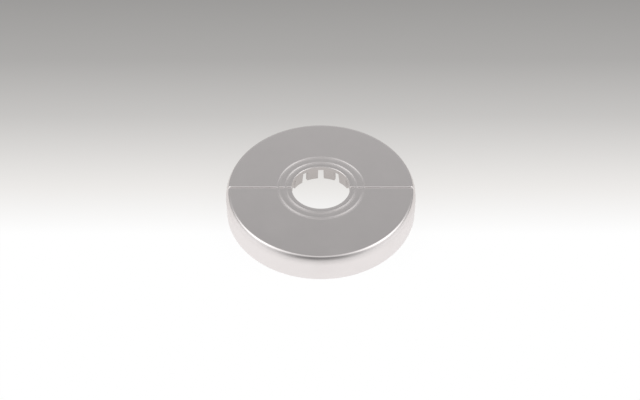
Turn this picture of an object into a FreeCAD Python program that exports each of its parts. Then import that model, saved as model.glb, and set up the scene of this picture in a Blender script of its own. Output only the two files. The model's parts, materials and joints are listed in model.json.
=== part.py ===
import FreeCAD, Part

import math
import os

# Split collar that covers the hole round a radiator pipe, in millimetres.
# Two halves from the same mould close round the pipe and push together along Y.
# The origin is on the pipe's axis, in the plane of the surface that the collar lies on.
# +Z runs up the pipe, and the seam between the halves lies in the plane Y = 0.

# Shell: a flat cover plate with a skirt round it
BASE_DIAMETER = 52.2
HEIGHT = 8.0
PLATE_THICKNESS = 1.3
SKIRT_THICKNESS = 1.3
INNER_CORNER_BEVEL = 0.8

# Outside of the skirt, from the top face down: a rounded edge, a short leaning
# shoulder and a long soft curve that brings the wall upright
EDGE_RADIUS = 0.8
SHOULDER_LEAN = 24.0
SHOULDER_LENGTH = 0.1
FLANK_RADIUS = 5.5

# Pipe bore, and the two shallow V rings scored round it in the top face
BORE_DIAMETER = 16.0
BORE_EDGE_BEVEL = 0.35
INNER_RING_DIAMETER = 19.2
OUTER_RING_DIAMETER = 23.4
RING_WIDTH = 0.9
RING_DEPTH = 0.16

# Fingers that hang below the bore
FINGERS_PER_HALF = 6
FINGER_LENGTH = 4.0
FINGER_FLARE = 0.6
FINGER_ROOT_THICKNESS = 1.25
FINGER_TIP_THICKNESS = 0.95
FINGER_TIP_BEVEL = 0.3
SLOT_WIDTH = 1.6

# Seam between the halves
SEAM_GAP = 0.1
SEAM_EDGE_RADIUS = 0.25
SEAM_CORNER_RADIUS = 0.5

# Push-fit tongue on one end of each half, and the pocket for it on the other end
TONGUE_THICKNESS = 1.4
TONGUE_DEPTH = 4.2
TONGUE_REACH = 6.0
TONGUE_ROOT_LENGTH = 7.0
TONGUE_LEAD_IN = 0.4
POCKET_WALL = 1.2
FIT_CLEARANCE = 0.1

# Sizes that follow from those above
base_radius = BASE_DIAMETER / 2
skirt_inner_radius = base_radius - SKIRT_THICKNESS
plate_underside = HEIGHT - PLATE_THICKNESS
seam_face = SEAM_GAP / 2

lean = math.radians(SHOULDER_LEAN)
flank_setback = FLANK_RADIUS * math.tan(lean / 2)
edge_setback = EDGE_RADIUS * math.tan((math.pi / 2 - lean) / 2)
shoulder_run = flank_setback + SHOULDER_LENGTH + edge_setback
shoulder_foot_height = HEIGHT - shoulder_run * math.cos(lean)
shoulder_head_radius = base_radius - shoulder_run * math.sin(lean)

bore_radius = BORE_DIAMETER / 2
finger_root_outer_radius = bore_radius + FINGER_ROOT_THICKNESS
finger_tip_inner_radius = bore_radius + FINGER_FLARE
finger_tip_outer_radius = finger_tip_inner_radius + FINGER_TIP_THICKNESS
finger_tip_height = plate_underside - FINGER_LENGTH

# The tongue stands midway between the fingers and the skirt
tongue_offset = (finger_tip_outer_radius + skirt_inner_radius) / 2
tongue_bottom = plate_underside - TONGUE_DEPTH
pocket_half_gap = TONGUE_THICKNESS / 2 + FIT_CLEARANCE
pocket_half_width = pocket_half_gap + POCKET_WALL
pocket_inner_end = TONGUE_REACH + FIT_CLEARANCE

# What stands under the plate runs this far up into it, so that the two fuse
root_overlap = PLATE_THICKNESS / 2
# Cutting shapes run this far past the faces that they cut
CUT_MARGIN = 1.0
# Two places nearer than this are the same place
SAME_PLACE = 0.001

ORIGIN = FreeCAD.Vector(0, 0, 0)
PIPE_AXIS = FreeCAD.Vector(0, 0, 1)
HALF_TURN = 180
FULL_TURN = 360

# Kinds of corner in a section
SHARP = "sharp"
ROUND = "round"
BEVEL = "bevel"


def section_outline(corners):
    """Closed wire in the X-Z plane from corners given as (radius, height, kind, size)."""
    points = [FreeCAD.Vector(radius, 0, height) for radius, height, kind, size in corners]
    following = points[1:] + points[:1]
    bends = []
    for index, corner in enumerate(points):
        kind, size = corners[index][2:]
        arriving = (corner - points[index - 1]).normalize()
        leaving = (following[index] - corner).normalize()
        turn = arriving.getAngle(leaving)
        setback = size * math.tan(turn / 2) if kind == ROUND else size
        inward = (leaving - arriving).normalize()
        middle = corner + inward * (size / math.cos(turn / 2) - size)
        bends.append((corner - arriving * setback, middle, corner + leaving * setback))
    edges = []
    for index, (start, middle, end) in enumerate(bends):
        kind = corners[index][2]
        next_start = bends[(index + 1) % len(bends)][0]
        if kind == ROUND:
            edges.append(Part.Arc(start, middle, end).toShape())
        if kind == BEVEL:
            edges.append(Part.LineSegment(start, end).toShape())
        edges.append(Part.LineSegment(end, next_start).toShape())
    return Part.Wire(edges)


def block(outline, bottom, top):
    """Upright block with a plan outline given as (x, y) corners."""
    points = [FreeCAD.Vector(x, y, bottom) for x, y in outline]
    wire = Part.makePolygon(points + points[:1])
    return Part.Face(wire).extrude(FreeCAD.Vector(0, 0, top - bottom))


def plain_shell():
    """Half of the collar as it is turned: plate, skirt and the uncut ring of fingers."""
    section = section_outline([
        (base_radius, 0, SHARP, 0),
        (base_radius, shoulder_foot_height, ROUND, FLANK_RADIUS),
        (shoulder_head_radius, HEIGHT, ROUND, EDGE_RADIUS),
        (bore_radius, HEIGHT, BEVEL, BORE_EDGE_BEVEL),
        (bore_radius, plate_underside, SHARP, 0),
        (finger_tip_inner_radius, finger_tip_height, BEVEL, FINGER_TIP_BEVEL),
        (finger_tip_outer_radius, finger_tip_height, BEVEL, FINGER_TIP_BEVEL),
        (finger_root_outer_radius, plate_underside, SHARP, 0),
        (skirt_inner_radius, plate_underside, BEVEL, INNER_CORNER_BEVEL),
        (skirt_inner_radius, 0, SHARP, 0),
    ])
    turned = Part.Face(section).revolve(ORIGIN, PIPE_AXIS, HALF_TURN)
    reach = base_radius + CUT_MARGIN
    past_the_seam = [
        (-reach, -CUT_MARGIN),
        (reach, -CUT_MARGIN),
        (reach, seam_face),
        (-reach, seam_face),
    ]
    return turned.cut(block(past_the_seam, -CUT_MARGIN, HEIGHT + CUT_MARGIN)).Solids[0]


def seam_roundings(shell):
    """Rows of (edge number, radius at its start, radius at its end) for the seam's outer edges."""
    rows = []
    for number, edge in enumerate(shell.Edges, 1):
        start = edge.valueAt(edge.FirstParameter)
        middle = edge.valueAt((edge.FirstParameter + edge.LastParameter) / 2)
        end = edge.valueAt(edge.LastParameter)
        if max(abs(place.y - seam_face) for place in (start, middle, end)) > SAME_PLACE:
            continue
        on_top = middle.z > HEIGHT - SAME_PLACE
        on_outside = abs(middle.x) > skirt_inner_radius and middle.z > SAME_PLACE
        if not (on_top or on_outside):
            continue
        radii = []
        for place in (start, end):
            at_top = place.z > HEIGHT - SAME_PLACE
            radii.append(SEAM_EDGE_RADIUS if at_top else SEAM_CORNER_RADIUS)
        rows.append((number, radii[0], radii[1]))
    return rows


def round_seam(shell):
    """Round the seam's edges, finely along the top and more widely down the skirt."""
    document = FreeCAD.newDocument("collar")
    sharp = document.addObject("Part::Feature", "SharpShell")
    sharp.Shape = shell
    rounded = document.addObject("Part::Fillet", "RoundedShell")
    rounded.Base = sharp
    rounded.Edges = seam_roundings(shell)
    document.recompute()
    return rounded.Shape


def ring_cutter(ring_diameter):
    """V-shaped ring, twice as wide and deep as its groove so that it clears the top face."""
    section = section_outline([
        (ring_diameter / 2, HEIGHT - RING_DEPTH, SHARP, 0),
        (ring_diameter / 2 + RING_WIDTH, HEIGHT + RING_DEPTH, SHARP, 0),
        (ring_diameter / 2 - RING_WIDTH, HEIGHT + RING_DEPTH, SHARP, 0),
    ])
    return Part.Face(section).revolve(ORIGIN, PIPE_AXIS, FULL_TURN)


def slot_cutters():
    """Blocks that part the ring into equal fingers, with whole fingers at the seam."""
    slot_angle = 2 * math.degrees(math.asin(SLOT_WIDTH / 2 / finger_tip_inner_radius))
    finger_angle = (HALF_TURN - (FINGERS_PER_HALF - 1) * slot_angle) / FINGERS_PER_HALF
    near = bore_radius - CUT_MARGIN
    far = finger_tip_outer_radius + CUT_MARGIN
    outline = [
        (near, -SLOT_WIDTH / 2),
        (far, -SLOT_WIDTH / 2),
        (far, SLOT_WIDTH / 2),
        (near, SLOT_WIDTH / 2),
    ]
    cutters = []
    for place in range(1, FINGERS_PER_HALF):
        cutter = block(outline, finger_tip_height - CUT_MARGIN, plate_underside)
        turn = place * finger_angle + (place - 0.5) * slot_angle
        cutter.rotate(ORIGIN, PIPE_AXIS, turn)
        cutters.append(cutter)
    return cutters


def tongue():
    """Tongue that reaches across the seam, and the rib that carries it under its own plate."""
    left = tongue_offset - TONGUE_THICKNESS / 2
    right = tongue_offset + TONGUE_THICKNESS / 2
    blade = block(
        [
            (left, TONGUE_ROOT_LENGTH),
            (left, TONGUE_LEAD_IN - TONGUE_REACH),
            (left + TONGUE_LEAD_IN, -TONGUE_REACH),
            (right - TONGUE_LEAD_IN, -TONGUE_REACH),
            (right, TONGUE_LEAD_IN - TONGUE_REACH),
            (right, TONGUE_ROOT_LENGTH),
        ],
        tongue_bottom,
        plate_underside - FIT_CLEARANCE,
    )
    rib = block(
        [
            (left, seam_face),
            (right, seam_face),
            (right, TONGUE_ROOT_LENGTH),
            (left, TONGUE_ROOT_LENGTH),
        ],
        tongue_bottom,
        plate_underside + root_overlap,
    )
    return blade.fuse(rib)


def pocket():
    """Pair of guide walls, closed at the far end, that takes the other half's tongue."""
    centre = -tongue_offset
    mouth = pocket_half_gap + TONGUE_LEAD_IN
    outer_end = pocket_inner_end + POCKET_WALL
    return block(
        [
            (centre - pocket_half_width, seam_face),
            (centre - mouth, seam_face),
            (centre - pocket_half_gap, seam_face + TONGUE_LEAD_IN),
            (centre - pocket_half_gap, pocket_inner_end),
            (centre + pocket_half_gap, pocket_inner_end),
            (centre + pocket_half_gap, seam_face + TONGUE_LEAD_IN),
            (centre + mouth, seam_face),
            (centre + pocket_half_width, seam_face),
            (centre + pocket_half_width, outer_end),
            (centre - pocket_half_width, outer_end),
        ],
        tongue_bottom,
        plate_underside + root_overlap,
    )


def collar_half():
    """One moulded half, on the +Y side of the seam."""
    shell = round_seam(plain_shell())
    rings = [ring_cutter(INNER_RING_DIAMETER), ring_cutter(OUTER_RING_DIAMETER)]
    shell = shell.cut(rings + slot_cutters())
    return shell.fuse([tongue(), pocket()]).removeSplitter().Solids[0]


def main():
    """Write the two halves: the rear one as modelled, the front one turned half round."""
    rear_half = collar_half()
    front_half = rear_half.copy()
    front_half.rotate(ORIGIN, PIPE_AXIS, HALF_TURN)
    os.makedirs("parts", exist_ok=True)
    rear_half.exportStep("parts/rear_half.step")
    front_half.exportStep("parts/front_half.step")


main()
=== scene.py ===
"""Looks of the radiator pipe collar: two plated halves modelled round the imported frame.

Each half is drawn as a section and spun round the pipe's axis in sectors. The fingers are extruded from the
plate and softened with a weighted bevel. The open ends are carried on to the seam in small steps, which round
their edges, and the tongue and the pocket are joined on.
"""

import json
import logging
import math
from dataclasses import dataclass
from enum import Enum
from typing import Any, Callable

import bmesh
import bpy
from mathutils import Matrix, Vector


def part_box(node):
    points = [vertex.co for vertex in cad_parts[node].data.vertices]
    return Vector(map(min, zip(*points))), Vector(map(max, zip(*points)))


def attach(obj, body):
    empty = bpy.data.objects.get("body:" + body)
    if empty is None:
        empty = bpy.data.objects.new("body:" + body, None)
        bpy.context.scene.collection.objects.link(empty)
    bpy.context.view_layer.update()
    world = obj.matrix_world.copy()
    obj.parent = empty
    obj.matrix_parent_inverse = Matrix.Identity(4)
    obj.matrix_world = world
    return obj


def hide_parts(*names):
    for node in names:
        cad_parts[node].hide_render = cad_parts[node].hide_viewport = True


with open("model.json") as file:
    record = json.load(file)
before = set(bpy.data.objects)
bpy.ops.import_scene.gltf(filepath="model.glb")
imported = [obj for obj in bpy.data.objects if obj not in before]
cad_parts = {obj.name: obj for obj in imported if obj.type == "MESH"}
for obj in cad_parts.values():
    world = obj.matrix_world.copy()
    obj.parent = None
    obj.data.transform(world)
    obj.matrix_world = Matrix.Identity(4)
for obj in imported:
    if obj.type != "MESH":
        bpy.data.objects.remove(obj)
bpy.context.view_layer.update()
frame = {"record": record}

LOG = logging.getLogger("collar")
MM = 0.001
MERGE_REACH = 0.0005 * MM
SAME_PLACE = 0.002 * MM

Tone = tuple[float, float, float]
Point = tuple[float, float, float]


class Half(Enum):
    """The two halves, by the CAD node that each stands for."""

    REAR = "rear_half"
    FRONT = "front_half"


class Sector(Enum):
    """What hangs under the plate in one sector of a half."""

    FINGER = "finger"
    SLOT = "slot"


def deselect_all() -> None:
    """Leave edit mode and deselect every object."""
    if bpy.context.object is not None and bpy.context.object.mode != "OBJECT":
        bpy.ops.object.mode_set(mode="OBJECT")
    bpy.ops.object.select_all(action="DESELECT")


def select_only(*objects: bpy.types.Object) -> None:
    """Select these objects and no others, and make the first one active.

    Args:
        objects: the objects to select.
    """
    deselect_all()
    for obj in objects:
        obj.select_set(True)
    bpy.context.view_layer.objects.active = objects[0]


class Workpiece:
    """One mesh on the bench, with the hand tools of edit mode."""

    def __init__(self, obj: bpy.types.Object) -> None:
        """Take an object on to the bench."""
        self.obj = obj

    def edit(self, mode: str) -> None:
        """Go into edit mode with nothing selected.

        Args:
            mode: VERT, EDGE or FACE, what the next tools pick.
        """
        select_only(self.obj)
        bpy.ops.object.mode_set(mode="EDIT")
        bpy.ops.mesh.select_mode(type=mode)
        bpy.ops.mesh.select_all(action="DESELECT")

    def edit_mesh(self) -> bpy.types.Mesh:
        """Go into edit mode and hand the mesh back."""
        self.edit("VERT")
        return self.obj.data

    def pick_vertices(self, wanted: Callable[[Vector], bool]) -> None:
        """Select the vertices whose place passes a test.

        Args:
            wanted: the test of a vertex's place.
        """
        self.edit("VERT")
        mesh = bmesh.from_edit_mesh(self.obj.data)
        for vertex in mesh.verts:
            vertex.select = wanted(vertex.co)
        mesh.select_flush(True)
        bmesh.update_edit_mesh(self.obj.data)

    def pick_edges(self, wanted: Callable[[Vector, Vector], bool]) -> None:
        """Select the edges whose two ends pass a test.

        Args:
            wanted: the test of an edge's two ends.
        """
        self.edit("EDGE")
        mesh = bmesh.from_edit_mesh(self.obj.data)
        for edge in mesh.edges:
            edge.select = wanted(edge.verts[0].co, edge.verts[1].co)
        bmesh.update_edit_mesh(self.obj.data)

    def pick_faces(self, wanted: Callable[[Vector, Vector], bool]) -> None:
        """Select the faces whose centre and normal pass a test.

        Args:
            wanted: the test of a face's centre and normal.
        """
        self.edit("FACE")
        mesh = bmesh.from_edit_mesh(self.obj.data)
        for face in mesh.faces:
            face.select = wanted(face.calc_center_median(), face.normal)
        bmesh.update_edit_mesh(self.obj.data)

    def clean(self) -> None:
        """Merge doubles and turn every face outwards."""
        self.edit("VERT")
        bpy.ops.mesh.select_all(action="SELECT")
        bpy.ops.mesh.remove_doubles(threshold=MERGE_REACH)
        bpy.ops.mesh.normals_make_consistent(inside=False)
        bpy.ops.object.mode_set(mode="OBJECT")

    def apply_modifier(self, kind: str, **settings: Any) -> None:
        """Add a modifier, set it and apply it.

        Args:
            kind: the modifier's type.
            settings: its properties by name.
        """
        select_only(self.obj)
        modifier = self.obj.modifiers.new(kind.title(), kind)
        for name, value in settings.items():
            setattr(modifier, name, value)
        bpy.ops.object.modifier_apply(modifier=modifier.name)


class SectionPen:
    """Draws a closed outline in the plane y = 0 by extruding and spinning one vertex."""

    def __init__(self, name: str, radius: float, height: float) -> None:
        """Put the first vertex down.

        Args:
            name: name of the new object.
            radius: distance of the vertex from the pipe's axis.
            height: height of the vertex.
        """
        deselect_all()
        bpy.ops.mesh.primitive_plane_add(size=MM, location=(radius, 0.0, height), calc_uvs=False)
        self.obj = bpy.context.object
        self.obj.name = name
        bpy.ops.object.transform_apply(location=True, rotation=True, scale=True)
        bpy.ops.object.mode_set(mode="EDIT")
        bpy.ops.mesh.select_mode(type="VERT")
        bpy.ops.mesh.select_all(action="SELECT")
        bpy.ops.mesh.merge(type="CENTER")
        self.at = Vector((radius, height))

    def run_to(self, radius: float, height: float) -> None:
        """Draw a straight run to a point.

        Args:
            radius: distance of the point from the pipe's axis.
            height: its height.
        """
        step = Vector((radius, height)) - self.at
        bpy.ops.mesh.extrude_region_move(TRANSFORM_OT_translate={"value": (step.x, 0.0, step.y)})
        self.at = Vector((radius, height))

    def arc(self, centre: Vector, turn: float, steps: int) -> None:
        """Draw an arc from the pen's place.

        Args:
            centre: centre of the arc as radius and height.
            turn: angle in radians, positive from the radius towards the height.
            steps: number of edges.
        """
        bpy.ops.mesh.spin(
            steps=steps,
            angle=abs(turn),
            center=(centre.x, 0.0, centre.y),
            axis=(0.0, math.copysign(1.0, turn), 0.0),
        )
        arm = self.at - centre
        cosine, sine = math.cos(turn), math.sin(turn)
        self.at = centre + Vector((arm.x * cosine - arm.y * sine, arm.x * sine + arm.y * cosine))

    def bend(self, heading: float, turn: float, radius: float, steps: int) -> float:
        """Draw an arc that leaves the pen's place along a heading.

        Args:
            heading: direction of travel in radians.
            turn: angle of the bend, positive to the left.
            radius: radius of the bend.
            steps: number of edges.

        Returns:
            The heading at the end of the bend.
        """
        side = math.copysign(math.pi / 2, turn)
        reach = Vector((math.cos(heading + side), math.sin(heading + side))) * radius
        self.arc(self.at + reach, turn, steps)
        return heading + turn

    def close(self) -> Workpiece:
        """Join the last vertex to the first.

        Returns:
            The outline as a workpiece, all selected in edit mode.
        """
        bpy.ops.mesh.select_all(action="SELECT")
        bpy.ops.mesh.remove_doubles(threshold=MERGE_REACH)
        bpy.ops.mesh.select_all(action="SELECT")
        return Workpiece(self.obj)


@dataclass
class CollarHalf:
    """One moulded half: plate, skirt, scored rings, fingers, tongue and pocket. Lengths are in metres."""

    base_radius: float
    height: float
    bore_radius: float
    plate_thickness: float
    skirt_thickness: float = 1.3 * MM
    inner_corner_round: float = 0.8 * MM
    edge_radius: float = 0.8 * MM
    edge_steps: int = 16
    shoulder_lean: float = math.radians(32.0)
    shoulder_length: float = 0.1 * MM
    flank_radius: float = 4.3 * MM
    flank_steps: int = 14
    lip_round: float = 0.2 * MM
    lip_steps: int = 7
    ring_radii: tuple[float, float] = (11.7 * MM, 9.6 * MM)
    ring_width: float = 0.95 * MM
    ring_slopes: tuple[float, float] = (math.radians(21.5), math.radians(17.5))
    ring_round: float = 0.15 * MM
    ring_steps: int = 4
    fingers: int = 6
    finger_length: float = 4.0 * MM
    finger_flare: float = 0.6 * MM
    finger_root: float = 1.25 * MM
    finger_tip: float = 0.95 * MM
    finger_tip_round: float = 0.25 * MM
    finger_edge_round: float = 0.12 * MM
    slot_width: float = 1.6 * MM
    sector_step: float = math.radians(1.35)
    end_step: float = math.radians(4.2)
    seam_half_gap: float = 0.02 * MM
    seam_edge_radius: float = 0.46 * MM
    seam_corner_radius: float = 0.5 * MM
    seam_steps: int = 6
    seam_bore_radius: float = 0.15 * MM
    seam_ring_radius: float = 0.05 * MM
    bevel_segments: int = 5
    tongue_thickness: float = 1.4 * MM
    tongue_depth: float = 4.2 * MM
    tongue_reach: float = 6.0 * MM
    tongue_root_length: float = 7.0 * MM
    lead_in: float = 0.4 * MM
    lead_in_steps: int = 3
    pocket_wall: float = 1.2 * MM
    fit_clearance: float = 0.1 * MM
    root_overlap: float = 0.3 * MM
    smooth_angle: float = math.radians(35.0)

    @property
    def underside(self) -> float:
        """Height of the plate's underside."""
        return self.height - self.plate_thickness

    @property
    def skirt_inner(self) -> float:
        """Radius of the skirt's inner wall."""
        return self.base_radius - self.skirt_thickness

    @property
    def root_outer(self) -> float:
        """Outer radius of a finger at the plate."""
        return self.bore_radius + self.finger_root

    @property
    def tip_inner(self) -> float:
        """Inner radius of a finger at its tip."""
        return self.bore_radius + self.finger_flare

    @property
    def tip_outer(self) -> float:
        """Outer radius of a finger at its tip."""
        return self.tip_inner + self.finger_tip

    @property
    def tip_height(self) -> float:
        """Height of the finger tips."""
        return self.underside - self.finger_length

    @property
    def tongue_offset(self) -> float:
        """Distance of the tongue's middle from the pipe's axis, midway between fingers and skirt."""
        return (self.tip_outer + self.skirt_inner) / 2

    @property
    def arc_foot(self) -> float:
        """Height at which the round of the top edge begins."""
        return self.height - self.edge_radius * (1.0 - math.sin(self.shoulder_lean))

    @property
    def flat_radius(self) -> float:
        """Radius at which the flat top ends and its rounded edge begins."""
        lean = self.shoulder_lean
        flank = self.flank_radius * (1.0 - math.cos(lean)) + self.shoulder_length * math.sin(lean)
        return self.base_radius - flank - self.edge_radius * math.cos(lean)

    @property
    def ring_depth(self) -> float:
        """Depth of a scored ring at its softened bottom."""
        softened = 2.0 * self.ring_round * sum(math.tan(slope / 2) for slope in self.ring_slopes)
        return (self.ring_width - softened) / sum(1.0 / math.tan(slope) for slope in self.ring_slopes)

    @property
    def round_start(self) -> float:
        """Distance from the middle of the seam at which the widest rounding begins."""
        return self.seam_half_gap + self.seam_corner_radius

    def draw_section(self) -> Workpiece:
        """Draw the section of plate and skirt.

        Returns:
            The closed outline.
        """
        pen = SectionPen("rear_collar_half", self.skirt_inner, 0.0)
        pen.run_to(self.base_radius, 0.0)
        lean = self.shoulder_lean
        shoulder_height = self.shoulder_length * math.cos(lean)
        flank_foot = self.arc_foot - shoulder_height - self.flank_radius * math.sin(lean)
        pen.run_to(self.base_radius, flank_foot)
        heading = pen.bend(math.pi / 2, lean, self.flank_radius, self.flank_steps)
        shoulder = Vector((math.cos(heading), math.sin(heading))) * self.shoulder_length
        pen.run_to(*(pen.at + shoulder))
        pen.bend(heading, math.pi / 2 - lean, self.edge_radius, self.edge_steps)
        for ring_radius in self.ring_radii:
            self.draw_ring(pen, ring_radius)
        pen.run_to(self.bore_radius + self.lip_round, self.height)
        pen.bend(math.pi, math.pi / 2, self.lip_round, self.lip_steps)
        pen.run_to(self.bore_radius, self.underside)
        pen.run_to(self.root_outer, self.underside)
        pen.run_to(self.skirt_inner - self.inner_corner_round, self.underside)
        pen.bend(0.0, -math.pi / 2, self.inner_corner_round, self.lip_steps)
        pen.run_to(self.skirt_inner, 0.0)
        return pen.close()

    def draw_ring(self, pen: SectionPen, ring_radius: float) -> None:
        """Draw one scored ring into the top, as a V with softened lips and a softened bottom.

        Args:
            pen: the pen, on the top and outside the ring.
            ring_radius: radius of the ring's middle.
        """
        outer, inner = self.ring_slopes
        pen.run_to(ring_radius + self.ring_width / 2, self.height)
        heading = pen.bend(math.pi, outer, self.ring_round, self.ring_steps)
        self.draw_wall(pen, heading, outer)
        heading = pen.bend(heading, -outer - inner, self.ring_round, 2 * self.ring_steps)
        self.draw_wall(pen, heading, inner)
        pen.bend(heading, inner, self.ring_round, self.ring_steps)

    def draw_wall(self, pen: SectionPen, heading: float, slope: float) -> None:
        """Draw the straight wall of a ring between its softened lip and bottom.

        Args:
            pen: the pen, where the softened part ends.
            heading: direction of travel in radians.
            slope: how steep the wall is.
        """
        run = (self.ring_depth - 2.0 * self.ring_round * (1.0 - math.cos(slope))) / math.sin(slope)
        pen.run_to(*(pen.at + Vector((math.cos(heading), math.sin(heading))) * run))

    def sectors(self) -> list[tuple[Sector, float]]:
        """Share the half turn out between fingers and slots.

        Returns:
            Each sector's kind and angle, in order from +X.
        """
        slot = 2.0 * math.asin(self.slot_width / 2 / self.tip_inner)
        finger = (math.pi - (self.fingers - 1) * slot) / self.fingers
        shares = [(Sector.FINGER, finger)]
        for _ in range(self.fingers - 1):
            shares += [(Sector.SLOT, slot), (Sector.FINGER, finger)]
        return shares

    def turn(self, angle: float, steps: int) -> None:
        """Spin what is selected round the pipe's axis, from +X towards +Y."""
        bpy.ops.mesh.spin(steps=steps, angle=angle, center=(0.0, 0.0, 0.0), axis=(0.0, 0.0, -1.0))

    def spin_shell(self) -> Workpiece:
        """Spin the section through half a turn, with an edge at each side of each finger.

        Returns:
            The shell of plate and skirt, open at the seam.
        """
        shell = self.draw_section()
        shares = self.sectors()
        for place, (_, angle) in enumerate(shares):
            first, last = place == 0, place == len(shares) - 1
            if first:
                self.turn(self.end_step, 1)
            inner = angle - self.end_step if first or last else angle
            self.turn(inner, round(inner / self.sector_step))
            if last:
                self.turn(self.end_step, 1)
        shell.clean()
        return shell

    def in_finger(self, angle: float) -> bool:
        """Tell whether an angle lies in a finger's sector.

        Args:
            angle: the angle from +X.

        Returns:
            True in a finger's sector, False in a slot's.
        """
        start = 0.0
        for kind, share in self.sectors():
            if start <= angle < start + share:
                return kind is Sector.FINGER
            start += share
        return False

    def is_root(self, centre: Vector) -> bool:
        """Tell whether a face is one that a finger grows from.

        Args:
            centre: the face's centre.

        Returns:
            True on the plate's underside, round the bore and in a finger's sector.
        """
        inside = math.hypot(centre.x, centre.y) < self.root_outer
        level = abs(centre.z - self.underside) < SAME_PLACE
        return inside and level and self.in_finger(math.atan2(centre.y, centre.x))

    def extrude_fingers(self, shell: Workpiece) -> None:
        """Extrude the fingers from the plate's underside and flare their tips.

        Args:
            shell: the shell to work on.
        """
        shell.pick_faces(lambda centre, normal: self.is_root(centre))
        drop = (0.0, 0.0, -self.finger_length)
        bpy.ops.mesh.extrude_region_move(TRANSFORM_OT_translate={"value": drop})
        middle = (self.bore_radius + self.root_outer) / 2
        self.flare_tips(shell, lambda radius: radius < middle, self.tip_inner / self.bore_radius)
        self.flare_tips(shell, lambda radius: radius > middle, self.tip_outer / self.root_outer)
        shell.clean()

    def flare_tips(self, shell: Workpiece, wanted: Callable[[float], bool], share: float) -> None:
        """Move one side of the finger tips away from the pipe's axis.

        Args:
            shell: the shell to work on.
            wanted: tells which radii at the tips move.
            share: how far, as a share of the radius.
        """
        shell.pick_vertices(
            lambda co: abs(co.z - self.tip_height) < SAME_PLACE and wanted(math.hypot(co.x, co.y))
        )
        bpy.ops.transform.resize(value=(share, share, 1.0), center_override=(0.0, 0.0, 0.0))

    def softness(self, first: Vector, second: Vector) -> float:
        """Work out how round an edge of a finger is.

        Args:
            first: one end of the edge.
            second: its other end.

        Returns:
            The radius of its rounding, or 0 where it stays sharp.
        """
        at_tip = max(abs(end.z - self.tip_height) for end in (first, second)) < SAME_PLACE
        if at_tip and self.bounds_tip(first, second):
            return self.finger_tip_round
        drop = abs(first.z - second.z)
        if abs(drop - self.finger_length) < SAME_PLACE and self.bounds_side((first + second) / 2):
            return self.finger_edge_round
        return 0.0

    def bounds_tip(self, first: Vector, second: Vector) -> bool:
        """Tell whether an edge at the tip height lies on a finger's outline.

        Args:
            first: one end of the edge.
            second: its other end.

        Returns:
            True on the outline, False across the tip.
        """
        reaches = [math.hypot(end.x, end.y) for end in (first, second)]
        across = abs(reaches[0] - reaches[1]) > self.finger_tip / 2
        return not across or self.bounds_side((first + second) / 2)

    def bounds_side(self, middle: Vector) -> bool:
        """Tell whether a point lies on the side of a finger.

        Args:
            middle: the point.

        Returns:
            True where a finger meets a slot.
        """
        angle = math.atan2(middle.y, middle.x)
        start = 0.0
        for _, share in self.sectors()[:-1]:
            start += share
            if abs(angle - start) * self.bore_radius < SAME_PLACE:
                return True
        return False

    def soften_fingers(self, shell: Workpiece) -> None:
        """Round the tips and the sides of the fingers, each by its own radius.

        Args:
            shell: the shell to work on.
        """
        for size in (self.finger_tip_round, self.finger_edge_round):
            shell.pick_edges(lambda a, b: self.softness(a, b) == size)
            bpy.ops.transform.edge_bevelweight(value=size / self.finger_tip_round)
        bpy.ops.object.mode_set(mode="OBJECT")
        shell.apply_modifier(
            "BEVEL",
            width=self.finger_tip_round,
            segments=self.bevel_segments,
            limit_method="WEIGHT",
            use_clamp_overlap=False,
            profile=0.5,
        )

    def cut_ends(self, shell: Workpiece) -> None:
        """Cut the shell off where the rounding of the seam begins, and leave the cut open.

        Args:
            shell: the shell to work on.
        """
        shell.edit("FACE")
        bpy.ops.mesh.select_all(action="SELECT")
        bpy.ops.mesh.bisect(
            plane_co=(0.0, self.round_start, 0.0),
            plane_no=(0.0, 1.0, 0.0),
            clear_inner=True,
            threshold=MERGE_REACH,
        )
        shell.clean()

    def seam_softness(self, radius: float, height: float) -> float:
        """Work out how round the seam's outline is at one place.

        Args:
            radius: distance of the place from the pipe's axis.
            height: its height.

        Returns:
            The radius of the rounding there.
        """
        if radius > self.flat_radius:
            share = max(0.0, (height - self.arc_foot) / (self.height - self.arc_foot))
            return self.seam_corner_radius + share * (self.seam_edge_radius - self.seam_corner_radius)
        depth = self.height - height
        if depth < self.lip_round:
            share = min(1.0, depth / self.ring_depth)
            lowest = self.seam_ring_radius if radius > self.root_outer else self.seam_bore_radius
            return self.seam_edge_radius + share * (lowest - self.seam_edge_radius)
        if radius < self.tip_inner and height > self.tip_height + self.finger_tip_round:
            return self.seam_bore_radius
        return 0.0

    def seam_inset(self, place: Vector, normal: Vector) -> Vector:
        """Work out how far and which way a place on the open end moves in as it rolls on to the seam."""
        level = Vector((normal.x, 0.0, normal.z if place.z > SAME_PLACE else 0.0))
        return -level.normalized() * self.seam_softness(math.hypot(place.x, place.y), place.z)

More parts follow.
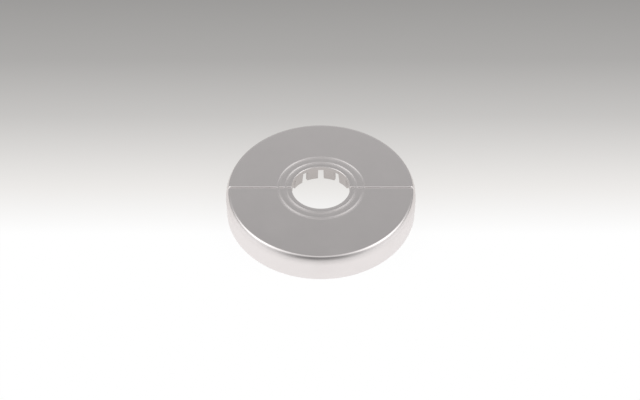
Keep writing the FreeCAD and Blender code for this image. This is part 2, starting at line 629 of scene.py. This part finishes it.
    def roll_seam(self, shell: Workpiece) -> None:
        """Carry the open ends on to the seam in small steps that round their outline, and fill them.

        Args:
            shell: the shell, cut off where the rounding begins.
        """
        layer = "inset"
        bmesh.from_edit_mesh(shell.edit_mesh()).verts.layers.float_vector.new(layer)
        shell.pick_edges(lambda a, b: max(a.y, b.y) < self.round_start + SAME_PLACE)
        mesh = bmesh.from_edit_mesh(shell.obj.data)
        inset = mesh.verts.layers.float_vector[layer]
        for vertex in mesh.verts:
            if vertex.select:
                vertex[inset] = self.seam_inset(vertex.co, vertex.normal)
        turns = [step * math.pi / 2 / self.seam_steps for step in range(self.seam_steps + 1)]
        for last, turn in zip([0.0, *turns], turns):
            bpy.ops.mesh.extrude_region_move(TRANSFORM_OT_translate={"value": (0.0, 0.0, 0.0)})
            mesh = bmesh.from_edit_mesh(shell.obj.data)
            inset = mesh.verts.layers.float_vector[layer]
            for vertex in mesh.verts:
                if vertex.select:
                    vertex.co += vertex[inset] * (math.cos(last) - math.cos(turn))
                    vertex.co.y = self.seam_half_gap + vertex[inset].length * (1.0 - math.sin(turn))
            bmesh.update_edit_mesh(shell.obj.data)
        mesh.verts.layers.float_vector.remove(inset)
        shell.clean()
        for side in (1.0, -1.0):
            shell.pick_edges(lambda a, b: self.on_seam(a, side) and self.on_seam(b, side))
            bpy.ops.mesh.edge_face_add()
        shell.clean()

    def on_seam(self, place: Vector, side: float) -> bool:
        """Tell whether a place lies on the seam, at the end that side gives by its sign."""
        return place.y < self.seam_half_gap + SAME_PLACE and place.x * side > 0.0

    def block(self, name: str, low: Vector, high: Vector) -> Workpiece:
        """Add a cube between two corners.

        Args:
            name: name of the new object.
            low: its lowest corner.
            high: its highest corner.

        Returns:
            The block as a workpiece.
        """
        deselect_all()
        bpy.ops.mesh.primitive_cube_add(
            size=1.0, location=(low + high) / 2, scale=high - low, calc_uvs=False
        )
        bpy.context.object.name = name
        bpy.ops.object.transform_apply(location=True, rotation=True, scale=True)
        return Workpiece(bpy.context.object)

    def build_tongue(self) -> Workpiece:
        """Model the tongue that reaches across the seam, and the rib that carries it.

        Returns:
            The tongue, with its lead-in bevelled.
        """
        half = self.tongue_thickness / 2
        bottom = self.underside - self.tongue_depth
        top = self.underside - self.fit_clearance
        tongue = self.block(
            "tongue",
            Vector((self.tongue_offset - half, -self.tongue_reach, bottom)),
            Vector((self.tongue_offset + half, self.tongue_root_length, top)),
        )
        tongue.pick_edges(
            lambda a, b: max(a.y, b.y) < SAME_PLACE - self.tongue_reach and abs(a.x - b.x) < SAME_PLACE
        )
        bpy.ops.mesh.bevel(
            offset=self.lead_in, segments=self.lead_in_steps, affect="EDGES", clamp_overlap=False
        )
        tongue.edit("FACE")
        bpy.ops.mesh.select_all(action="SELECT")
        bpy.ops.mesh.bisect(plane_co=(0.0, self.seam_half_gap, 0.0), plane_no=(0.0, 1.0, 0.0))
        tongue.pick_faces(lambda centre, normal: normal.z > 0.5 and centre.y > self.seam_half_gap)
        rise = (0.0, 0.0, self.fit_clearance + self.root_overlap)
        bpy.ops.mesh.extrude_region_move(TRANSFORM_OT_translate={"value": rise})
        tongue.clean()
        return tongue

    def build_pocket(self) -> Workpiece:
        """Model the guide walls that take the other half's tongue.

        Returns:
            The walls, open at the seam.
        """
        half_gap = self.tongue_thickness / 2 + self.fit_clearance
        half_width = half_gap + self.pocket_wall
        depth = self.tongue_reach + self.fit_clearance
        bottom = self.underside - self.tongue_depth
        low = Vector((-self.tongue_offset - half_width, self.seam_half_gap, bottom))
        far = Vector((-self.tongue_offset + half_width, depth + self.pocket_wall, 0.0))
        pocket = self.block("pocket", low, Vector((far.x, far.y, self.underside + self.root_overlap)))
        for plane in (-self.tongue_offset - half_gap, -self.tongue_offset + half_gap):
            self.score(pocket, (plane, 0.0, 0.0), (1.0, 0.0, 0.0))
        self.score(pocket, (0.0, depth, 0.0), (0.0, 1.0, 0.0))
        pocket.pick_faces(
            lambda centre, normal: normal.z < -0.5
            and abs(centre.x + self.tongue_offset) < half_gap
            and centre.y < depth
        )
        rise = (0.0, 0.0, self.tongue_depth + self.root_overlap / 2)
        bpy.ops.mesh.extrude_region_move(TRANSFORM_OT_translate={"value": rise})
        pocket.pick_faces(
            lambda centre, normal: normal.y < -0.5
            and centre.y < 2 * self.seam_half_gap
            and abs(centre.x + self.tongue_offset) < half_gap
            and centre.z < self.underside + self.root_overlap / 2
        )
        bpy.ops.mesh.delete(type="FACE")
        pocket.clean()
        return pocket

    def score(self, piece: Workpiece, place: Point, normal: Point) -> None:
        """Cut new edges round a piece where a plane meets it, and keep both sides.

        Args:
            piece: the piece to work on.
            place: a point in the plane.
            normal: the plane's normal.
        """
        piece.edit("FACE")
        bpy.ops.mesh.select_all(action="SELECT")
        bpy.ops.mesh.bisect(plane_co=place, plane_no=normal, threshold=MERGE_REACH)

    def build(self) -> bpy.types.Object:
        """Model the rear half.

        Returns:
            The finished object, with its place in its mesh.
        """
        shell = self.spin_shell()
        self.extrude_fingers(shell)
        self.soften_fingers(shell)
        self.cut_ends(shell)
        self.roll_seam(shell)
        tongue = self.build_tongue()
        pocket = self.build_pocket()
        select_only(shell.obj, tongue.obj, pocket.obj)
        bpy.ops.object.join()
        bpy.ops.object.shade_smooth_by_angle(angle=self.smooth_angle)
        shell.apply_modifier("WEIGHTED_NORMAL", keep_sharp=True, weight=100)
        return shell.obj

    def copy_turned(self, half: bpy.types.Object) -> bpy.types.Object:
        """Copy the rear half and turn the copy half round the pipe's axis.

        Args:
            half: the finished rear half.

        Returns:
            The front half, with a mesh of its own.
        """
        select_only(half)
        bpy.ops.object.duplicate(linked=False)
        copy = bpy.context.object
        copy.name = "front_collar_half"
        bpy.ops.transform.rotate(value=math.pi, orient_axis="Z", center_override=(0.0, 0.0, 0.0))
        bpy.ops.object.transform_apply(location=True, rotation=True, scale=True)
        return copy

    def dress(self, half: bpy.types.Object, node: Half, body: str, finish: bpy.types.Material) -> None:
        """Give a half its finish and tie it to the frame.

        Args:
            half: the modelled half.
            node: the CAD node that it stands for.
            body: the CAD body that it rides on.
            finish: its material.
        """
        half.data.materials.clear()
        half.data.materials.append(finish)
        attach(half, body)
        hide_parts(node.value)
        LOG.info("%s: %d faces on body %s", half.name, len(half.data.polygons), body)


class Wire:
    """A socket's output, with Python's operators for the Math nodes that it feeds."""

    def __init__(self, bench: "NodeBench", socket: bpy.types.NodeSocket) -> None:
        """Wrap a socket of a bench's node tree."""
        self.bench = bench
        self.socket = socket

    def math(self, operation: str, *values: "Wire | float") -> "Wire":
        """Feed values to a new Math node."""
        return self.bench.node("ShaderNodeMath", {"operation": operation}, dict(enumerate(values)))

    def __add__(self, other: "Wire | float") -> "Wire":
        """Add."""
        return self.math("ADD", self, other)

    __radd__ = __add__

    def __sub__(self, other: "Wire | float") -> "Wire":
        """Subtract."""
        return self.math("SUBTRACT", self, other)

    def __rsub__(self, other: float) -> "Wire":
        """Subtract from a number."""
        return self.math("SUBTRACT", other, self)

    def __mul__(self, other: "Wire | float") -> "Wire":
        """Multiply."""
        return self.math("MULTIPLY", self, other)

    __rmul__ = __mul__

    def __truediv__(self, other: "Wire | float") -> "Wire":
        """Divide."""
        return self.math("DIVIDE", self, other)

    def __pow__(self, other: "Wire | float") -> "Wire":
        """Raise to a power."""
        return self.math("POWER", self, other)

    def larger(self, other: "Wire | float") -> "Wire":
        """Take the larger of two values."""
        return self.math("MAXIMUM", self, other)

    def step(self, start: float, end: float) -> "Wire":
        """Rise smoothly from 0 at start to 1 at end."""
        return self.bench.node(
            "ShaderNodeMapRange",
            {"interpolation_type": "SMOOTHSTEP"},
            {"Value": self, "From Min": start, "From Max": end, "To Min": 0.0, "To Max": 1.0},
        )


@dataclass(frozen=True)
class Mottle:
    """One kind of unevenness in a finish: its features a metre, and how fine their detail goes."""

    scale: float
    detail: float


class NodeBench:
    """Adds nodes to one node tree."""

    def __init__(self, tree: bpy.types.NodeTree) -> None:
        """Empty a node tree and work on it."""
        self.tree = tree
        tree.nodes.clear()

    def node(
        self,
        kind: str,
        settings: dict[str, Any] | None = None,
        inputs: dict[str | int, Any] | None = None,
        output: str | int = 0,
    ) -> Wire:
        """Add a node.

        Args:
            kind: the node's type.
            settings: its properties by name; stops sets a ramp's stops.
            inputs: values or wires by socket name or number.
            output: the output that is handed back.

        Returns:
            That output, wrapped.
        """
        made = self.tree.nodes.new(kind)
        for name, value in (settings or {}).items():
            if name == "stops":
                self.set_stops(made.color_ramp, value)
            else:
                setattr(made, name, value)
        for name, value in (inputs or {}).items():
            if isinstance(value, Wire):
                self.tree.links.new(value.socket, made.inputs[name])
            else:
                made.inputs[name].default_value = value
        return Wire(self, made.outputs[output] if len(made.outputs) else None)

    def split(self, vector: Wire) -> list[Wire]:
        """Take a vector apart into its three parts."""
        parts = self.node("ShaderNodeSeparateXYZ", {}, {"Vector": vector}).socket.node
        return [Wire(self, part) for part in parts.outputs]

    def set_stops(self, ramp: bpy.types.ColorRamp, stops: list[tuple[float, Tone]]) -> None:
        """Give a ramp its stops.

        Args:
            ramp: the ramp.
            stops: pairs of position and colour, in order.
        """
        while len(ramp.elements) < len(stops):
            ramp.elements.new(1.0)
        for element, (position, tone) in zip(ramp.elements, stops):
            element.position = position
            element.color = (*tone, 1.0)

    def mix(self, share: "Wire | float", first: Any, second: Any) -> Wire:
        """Mix two colours.

        Args:
            share: how much of the second.
            first: a colour or a wire.
            second: a colour or a wire.

        Returns:
            The mixed colour.
        """
        return self.node(
            "ShaderNodeMix",
            {"data_type": "RGBA"},
            {"Factor": share, 6: first, 7: second},
            output=2,
        )

    def noise(self, place: Wire, mottle: Mottle) -> Wire:
        """Add a noise texture."""
        values = {"Vector": place, "Scale": mottle.scale, "Detail": mottle.detail}
        return self.node("ShaderNodeTexNoise", {"noise_dimensions": "3D"}, values)


@dataclass(frozen=True)
class BrightPlating:
    """Chrome plating on moulded plastic: bright outside. In the recess under the plate it is rougher, and its
    colour is darkened there as painted shade.
    """

    recess_radius: float
    recess_height: float
    bore_radius: float
    lip_height: float
    skirt_radius: float
    finger_radius: float
    tone: Tone = (0.885, 0.845, 0.838)
    cloud_tone: Tone = (0.875, 0.836, 0.829)
    # Painted shade: darker tones for the recess under the plate and for the hollow beyond the fingers.
    recess_painted_shade_tone: Tone = (0.565, 0.535, 0.525)
    hollow_painted_shade_tone: Tone = (0.36, 0.345, 0.335)
    roughness: float = 0.28
    smudge_roughness: float = 0.04
    recess_roughness: float = 0.07
    skirt_roughness: float = 0.26
    recess_fade: float = 0.5 * MM
    bore_fade: float = 0.25 * MM
    clouds: Mottle = Mottle(260.0, 3.0)
    cloud_range: tuple[float, float] = (0.35, 0.7)
    smudges: Mottle = Mottle(120.0, 5.0)
    smudge_range: tuple[float, float] = (0.45, 0.75)
    ripples: Mottle = Mottle(170.0, 1.0)
    ripple_height: float = 0.004 * MM
    grain: Mottle = Mottle(5200.0, 2.0)
    grain_share: float = 0.12
    bump_strength: float = 0.35

    def material(self) -> bpy.types.Material:
        """Make the material.

        Returns:
            The plating as a node material.
        """
        plating = bpy.data.materials.new("bright_plating")
        plating.use_nodes = True
        bench = NodeBench(plating.node_tree)
        place = bench.node("ShaderNodeTexCoord", output="Object")
        across, along, up = bench.split(place)
        radius = (across * across + along * along) ** 0.5
        shaded_dull_recess = self.shaded_dull_recess(radius, up)
        skirt = radius.step(self.recess_radius, self.skirt_radius)
        skirt = skirt * (1.0 - up.step(self.recess_height - self.recess_fade, self.lip_height))
        clouds = bench.noise(place, self.clouds).step(*self.cloud_range)
        smudges = bench.noise(place, self.smudges).step(*self.smudge_range)
        tone = bench.mix(clouds, (*self.tone, 1.0), (*self.cloud_tone, 1.0))
        # Painted shade: the colour is darkened in the recess and on the bore wall, and darker still in the
        # hollow beyond the fingers.
        tone = bench.mix(shaded_dull_recess, tone, (*self.recess_painted_shade_tone, 1.0))
        hollow_shade = shaded_dull_recess * radius.step(self.finger_radius, self.finger_radius + self.recess_fade)
        tone = bench.mix(hollow_shade, tone, (*self.hollow_painted_shade_tone, 1.0))
        roughness = self.roughness + self.smudge_roughness * smudges + self.recess_roughness * shaded_dull_recess
        roughness = roughness + self.skirt_roughness * skirt
        relief = bench.noise(place, self.ripples) + self.grain_share * bench.noise(place, self.grain)
        bump = bench.node(
            "ShaderNodeBump",
            {},
            {"Strength": self.bump_strength, "Distance": self.ripple_height, "Height": relief},
        )
        surface = bench.node(
            "ShaderNodeBsdfPrincipled",
            {},
            {"Base Color": tone, "Metallic": 1.0, "Roughness": roughness, "Normal": bump},
        )
        bench.node("ShaderNodeOutputMaterial", {}, {"Surface": surface})
        return plating

    def shaded_dull_recess(self, radius: Wire, up: Wire) -> Wire:
        """Mask the recess under the plate, and the wall of the bore below its lip. The plating is rougher
        there, and its colour is darkened as painted shade.

        Args:
            radius: distance from the pipe's axis.
            up: height.

        Returns:
            1 in the recess, 0 outside.
        """
        inside = 1.0 - radius.step(self.recess_radius, self.recess_radius + self.recess_fade)
        below = 1.0 - up.step(self.recess_height - self.recess_fade, self.recess_height)
        in_bore = 1.0 - radius.step(self.bore_radius + self.bore_fade / 4, self.bore_radius + self.bore_fade)
        below_lip = 1.0 - up.step(self.lip_height - self.bore_fade, self.lip_height)
        return (inside * below).larger(in_bore * below_lip)


@dataclass(frozen=True)
class Glow:
    """One soft patch of light on the dome, placed in degrees."""

    azimuth: float
    elevation: float
    strength: float
    tightness: float

    def level(self, bench: NodeBench, toward: Wire) -> Wire:
        """Work out the patch's brightness.

        Args:
            bench: the node bench of the world.
            toward: the direction that is looked in.

        Returns:
            The brightness in that direction.
        """
        azimuth, elevation = math.radians(self.azimuth), math.radians(self.elevation)
        flat = math.cos(elevation)
        axis = (flat * math.cos(azimuth), flat * math.sin(azimuth), math.sin(elevation))
        facing = bench.node(
            "ShaderNodeVectorMath", {"operation": "DOT_PRODUCT"}, {0: toward, 1: axis}, output="Value"
        )
        return self.strength * facing.larger(0.0) ** self.tightness


@dataclass
class Studio:
    """Pale floor, soft light dome and camera. Lengths are in metres."""

    floor_radius: float = 2.0
    floor_corners: int = 96
    floor_drop: float = 0.02 * MM
    # Painted pool of light on the floor: white round the collar, with painted shade grey behind it and far in
    # front.
    floor_light_pool_levels: tuple[tuple[float, float], ...] = (
        (-130.0 * MM, 0.30),
        (-66.0 * MM, 1.0),
        (-10.0 * MM, 1.0),
        (8.0 * MM, 0.825),
        (23.0 * MM, 0.69),
        (38.0 * MM, 0.56),
        (65.0 * MM, 0.41),
        (97.0 * MM, 0.33),
    )
    # Far from the collar, the floor fades to a painted shade grey.
    floor_fade_from: float = 0.12
    floor_fade_to: float = 0.60
    floor_far_shade_level: float = 0.35
    floor_warmth: float = 0.02
    floor_glow: float = 1.02
    floor_seen_share: float = 0.92
    dome_level: float = 0.12
    glows: tuple[Glow, ...] = (
        Glow(200.0, 29.0, 1.28, 7.5),
        Glow(-20.0, 29.0, 1.28, 7.5),
        Glow(169.0, 54.0, 1.15, 13.0),
        Glow(11.0, 54.0, 1.15, 13.0),
        Glow(135.0, 0.0, 0.30, 10.0),
        Glow(45.0, 0.0, 0.30, 10.0),
        Glow(90.0, 24.0, 0.49, 7.2),
        Glow(270.0, 64.0, 0.62, 11.0),
    )
    camera_offset: tuple[float, float] = (-0.23 * MM, -221.0 * MM)
    camera_rise: float = 224.5 * MM
    camera_pitch: float = math.radians(46.09)
    camera_lens: float = 64.69
    camera_sensor: float = 36.0

    def build_floor(self) -> None:
        """Lay a wide pale floor."""
        deselect_all()
        bpy.ops.mesh.primitive_circle_add(
            vertices=self.floor_corners,
            radius=self.floor_radius,
            fill_type="NGON",
            location=(0.0, 0.0, -self.floor_drop),
        )
        floor = bpy.context.object
        floor.name = "floor"
        floor.data.materials.append(self.floor_paint())

    def floor_paint(self) -> bpy.types.Material:
        """Make the floor's paint, which keeps the collar's shadow and is clear from below.

        Returns:
            The paint as a node material.
        """
        paint = bpy.data.materials.new("pale_floor")
        paint.use_nodes = True
        bench = NodeBench(paint.node_tree)
        across, along, _ = bench.split(bench.node("ShaderNodeTexCoord", output="Object"))
        tone = self.floor_light_pool_tone(bench, across, along)
        matt = bench.node("ShaderNodeBsdfDiffuse", {}, {"Color": tone})
        glow = bench.node("ShaderNodeEmission", {}, {"Color": tone, "Strength": self.floor_glow})
        path = bench.node("ShaderNodeLightPath").socket.node
        rays = ("Is Camera Ray", "Is Glossy Ray", "Is Transmission Ray")
        camera, glossy, through = (Wire(bench, path.outputs[name]) for name in rays)
        seen = camera.larger(glossy).larger(through) * self.floor_seen_share
        mixed = bench.node("ShaderNodeMixShader", {}, {0: seen, 1: matt, 2: glow})
        from_below = bench.node("ShaderNodeNewGeometry", output="Backfacing")
        clear = bench.node("ShaderNodeBsdfTransparent")
        sided = bench.node("ShaderNodeMixShader", {}, {0: from_below, 1: mixed, 2: clear})
        bench.node("ShaderNodeOutputMaterial", {}, {"Surface": sided})
        return paint

    def floor_light_pool_tone(self, bench: NodeBench, across: Wire, along: Wire) -> Wire:
        """Paint a pool of light on the floor: white round the collar, fading to a painted shade grey behind,
        far in front and far away.

        Args:
            bench: the node bench of the floor's material.
            across: place along X.
            along: place along Y.

        Returns:
            The floor's colour.
        """
        front = self.floor_light_pool_levels[0][0]
        depth = self.floor_light_pool_levels[-1][0] - front
        stops = [((place - front) / depth, self.grey(level)) for place, level in self.floor_light_pool_levels]
        near = bench.node("ShaderNodeValToRGB", {"stops": stops}, {"Fac": (along - front) / depth})
        radius = (across * across + along * along) ** 0.5
        far = radius.step(self.floor_fade_from, self.floor_fade_to)
        return bench.mix(far, near, (*self.grey(self.floor_far_shade_level), 1.0))

    def grey(self, level: float) -> Tone:
        """Mix a grey of the floor, a little warm unless it is white."""
        warmth = 0.0 if level == 1.0 else self.floor_warmth
        return level * (1.0 + warmth), level, level * (1.0 - warmth)

    def light_dome(self) -> None:
        """Light the scene with a soft grey dome that glows at both sides, behind and in front."""
        world = bpy.data.worlds.new("dome")
        bpy.context.scene.world = world
        world.use_nodes = True
        bench = NodeBench(world.node_tree)
        toward = bench.node("ShaderNodeTexCoord", output="Generated")
        level: Wire | float = self.dome_level
        for glow in self.glows:
            level = level + glow.level(bench, toward)
        light = bench.node("ShaderNodeBackground", {}, {"Color": level, "Strength": 1.0})
        bench.node("ShaderNodeOutputWorld", {}, {"Surface": light})

    def set_camera(self, top: float) -> None:
        """Put the camera at the photograph's viewing angle.

        Args:
            top: height of the collar's top.
        """
        deselect_all()
        place = (*self.camera_offset, top + self.camera_rise)
        bpy.ops.object.camera_add(location=place, rotation=(math.pi / 2 - self.camera_pitch, 0.0, 0.0))
        camera = bpy.context.object
        camera.name = "camera"
        camera.data.lens = self.camera_lens
        camera.data.sensor_width = self.camera_sensor
        bpy.context.scene.camera = camera

    def build(self, top: float) -> None:
        """Set up camera, floor and light.

        Args:
            top: height of the collar's top.
        """
        self.set_camera(top)
        self.build_floor()
        self.light_dome()
        bpy.context.scene.view_settings.view_transform = "Standard"
        LOG.info("studio: camera, floor and light dome")


def main() -> None:
    """Build the studio and the two halves, in order."""
    logging.basicConfig(level=logging.INFO, format="%(name)s: %(message)s")
    _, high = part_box(Half.REAR.value)
    Studio().build(high.z)
    bore = next(mount for mount in frame["record"]["mounts"] if mount["kind"] == "bore")
    collar = CollarHalf(
        base_radius=high.y,
        height=high.z,
        bore_radius=bore["dims"]["r_mm"] * MM,
        plate_thickness=bore["dims"]["length_mm"] * MM,
    )
    finish = BrightPlating(
        recess_radius=collar.skirt_inner,
        recess_height=collar.underside,
        bore_radius=collar.bore_radius,
        lip_height=collar.height - collar.lip_round / 2,
        skirt_radius=collar.base_radius - collar.skirt_thickness / 2,
        finger_radius=collar.tip_outer,
    ).material()
    rear = collar.build()
    front = collar.copy_turned(rear)
    collar.dress(rear, Half.REAR, "rear", finish)
    collar.dress(front, Half.FRONT, "front", finish)


if __name__ == "__main__":
    main()
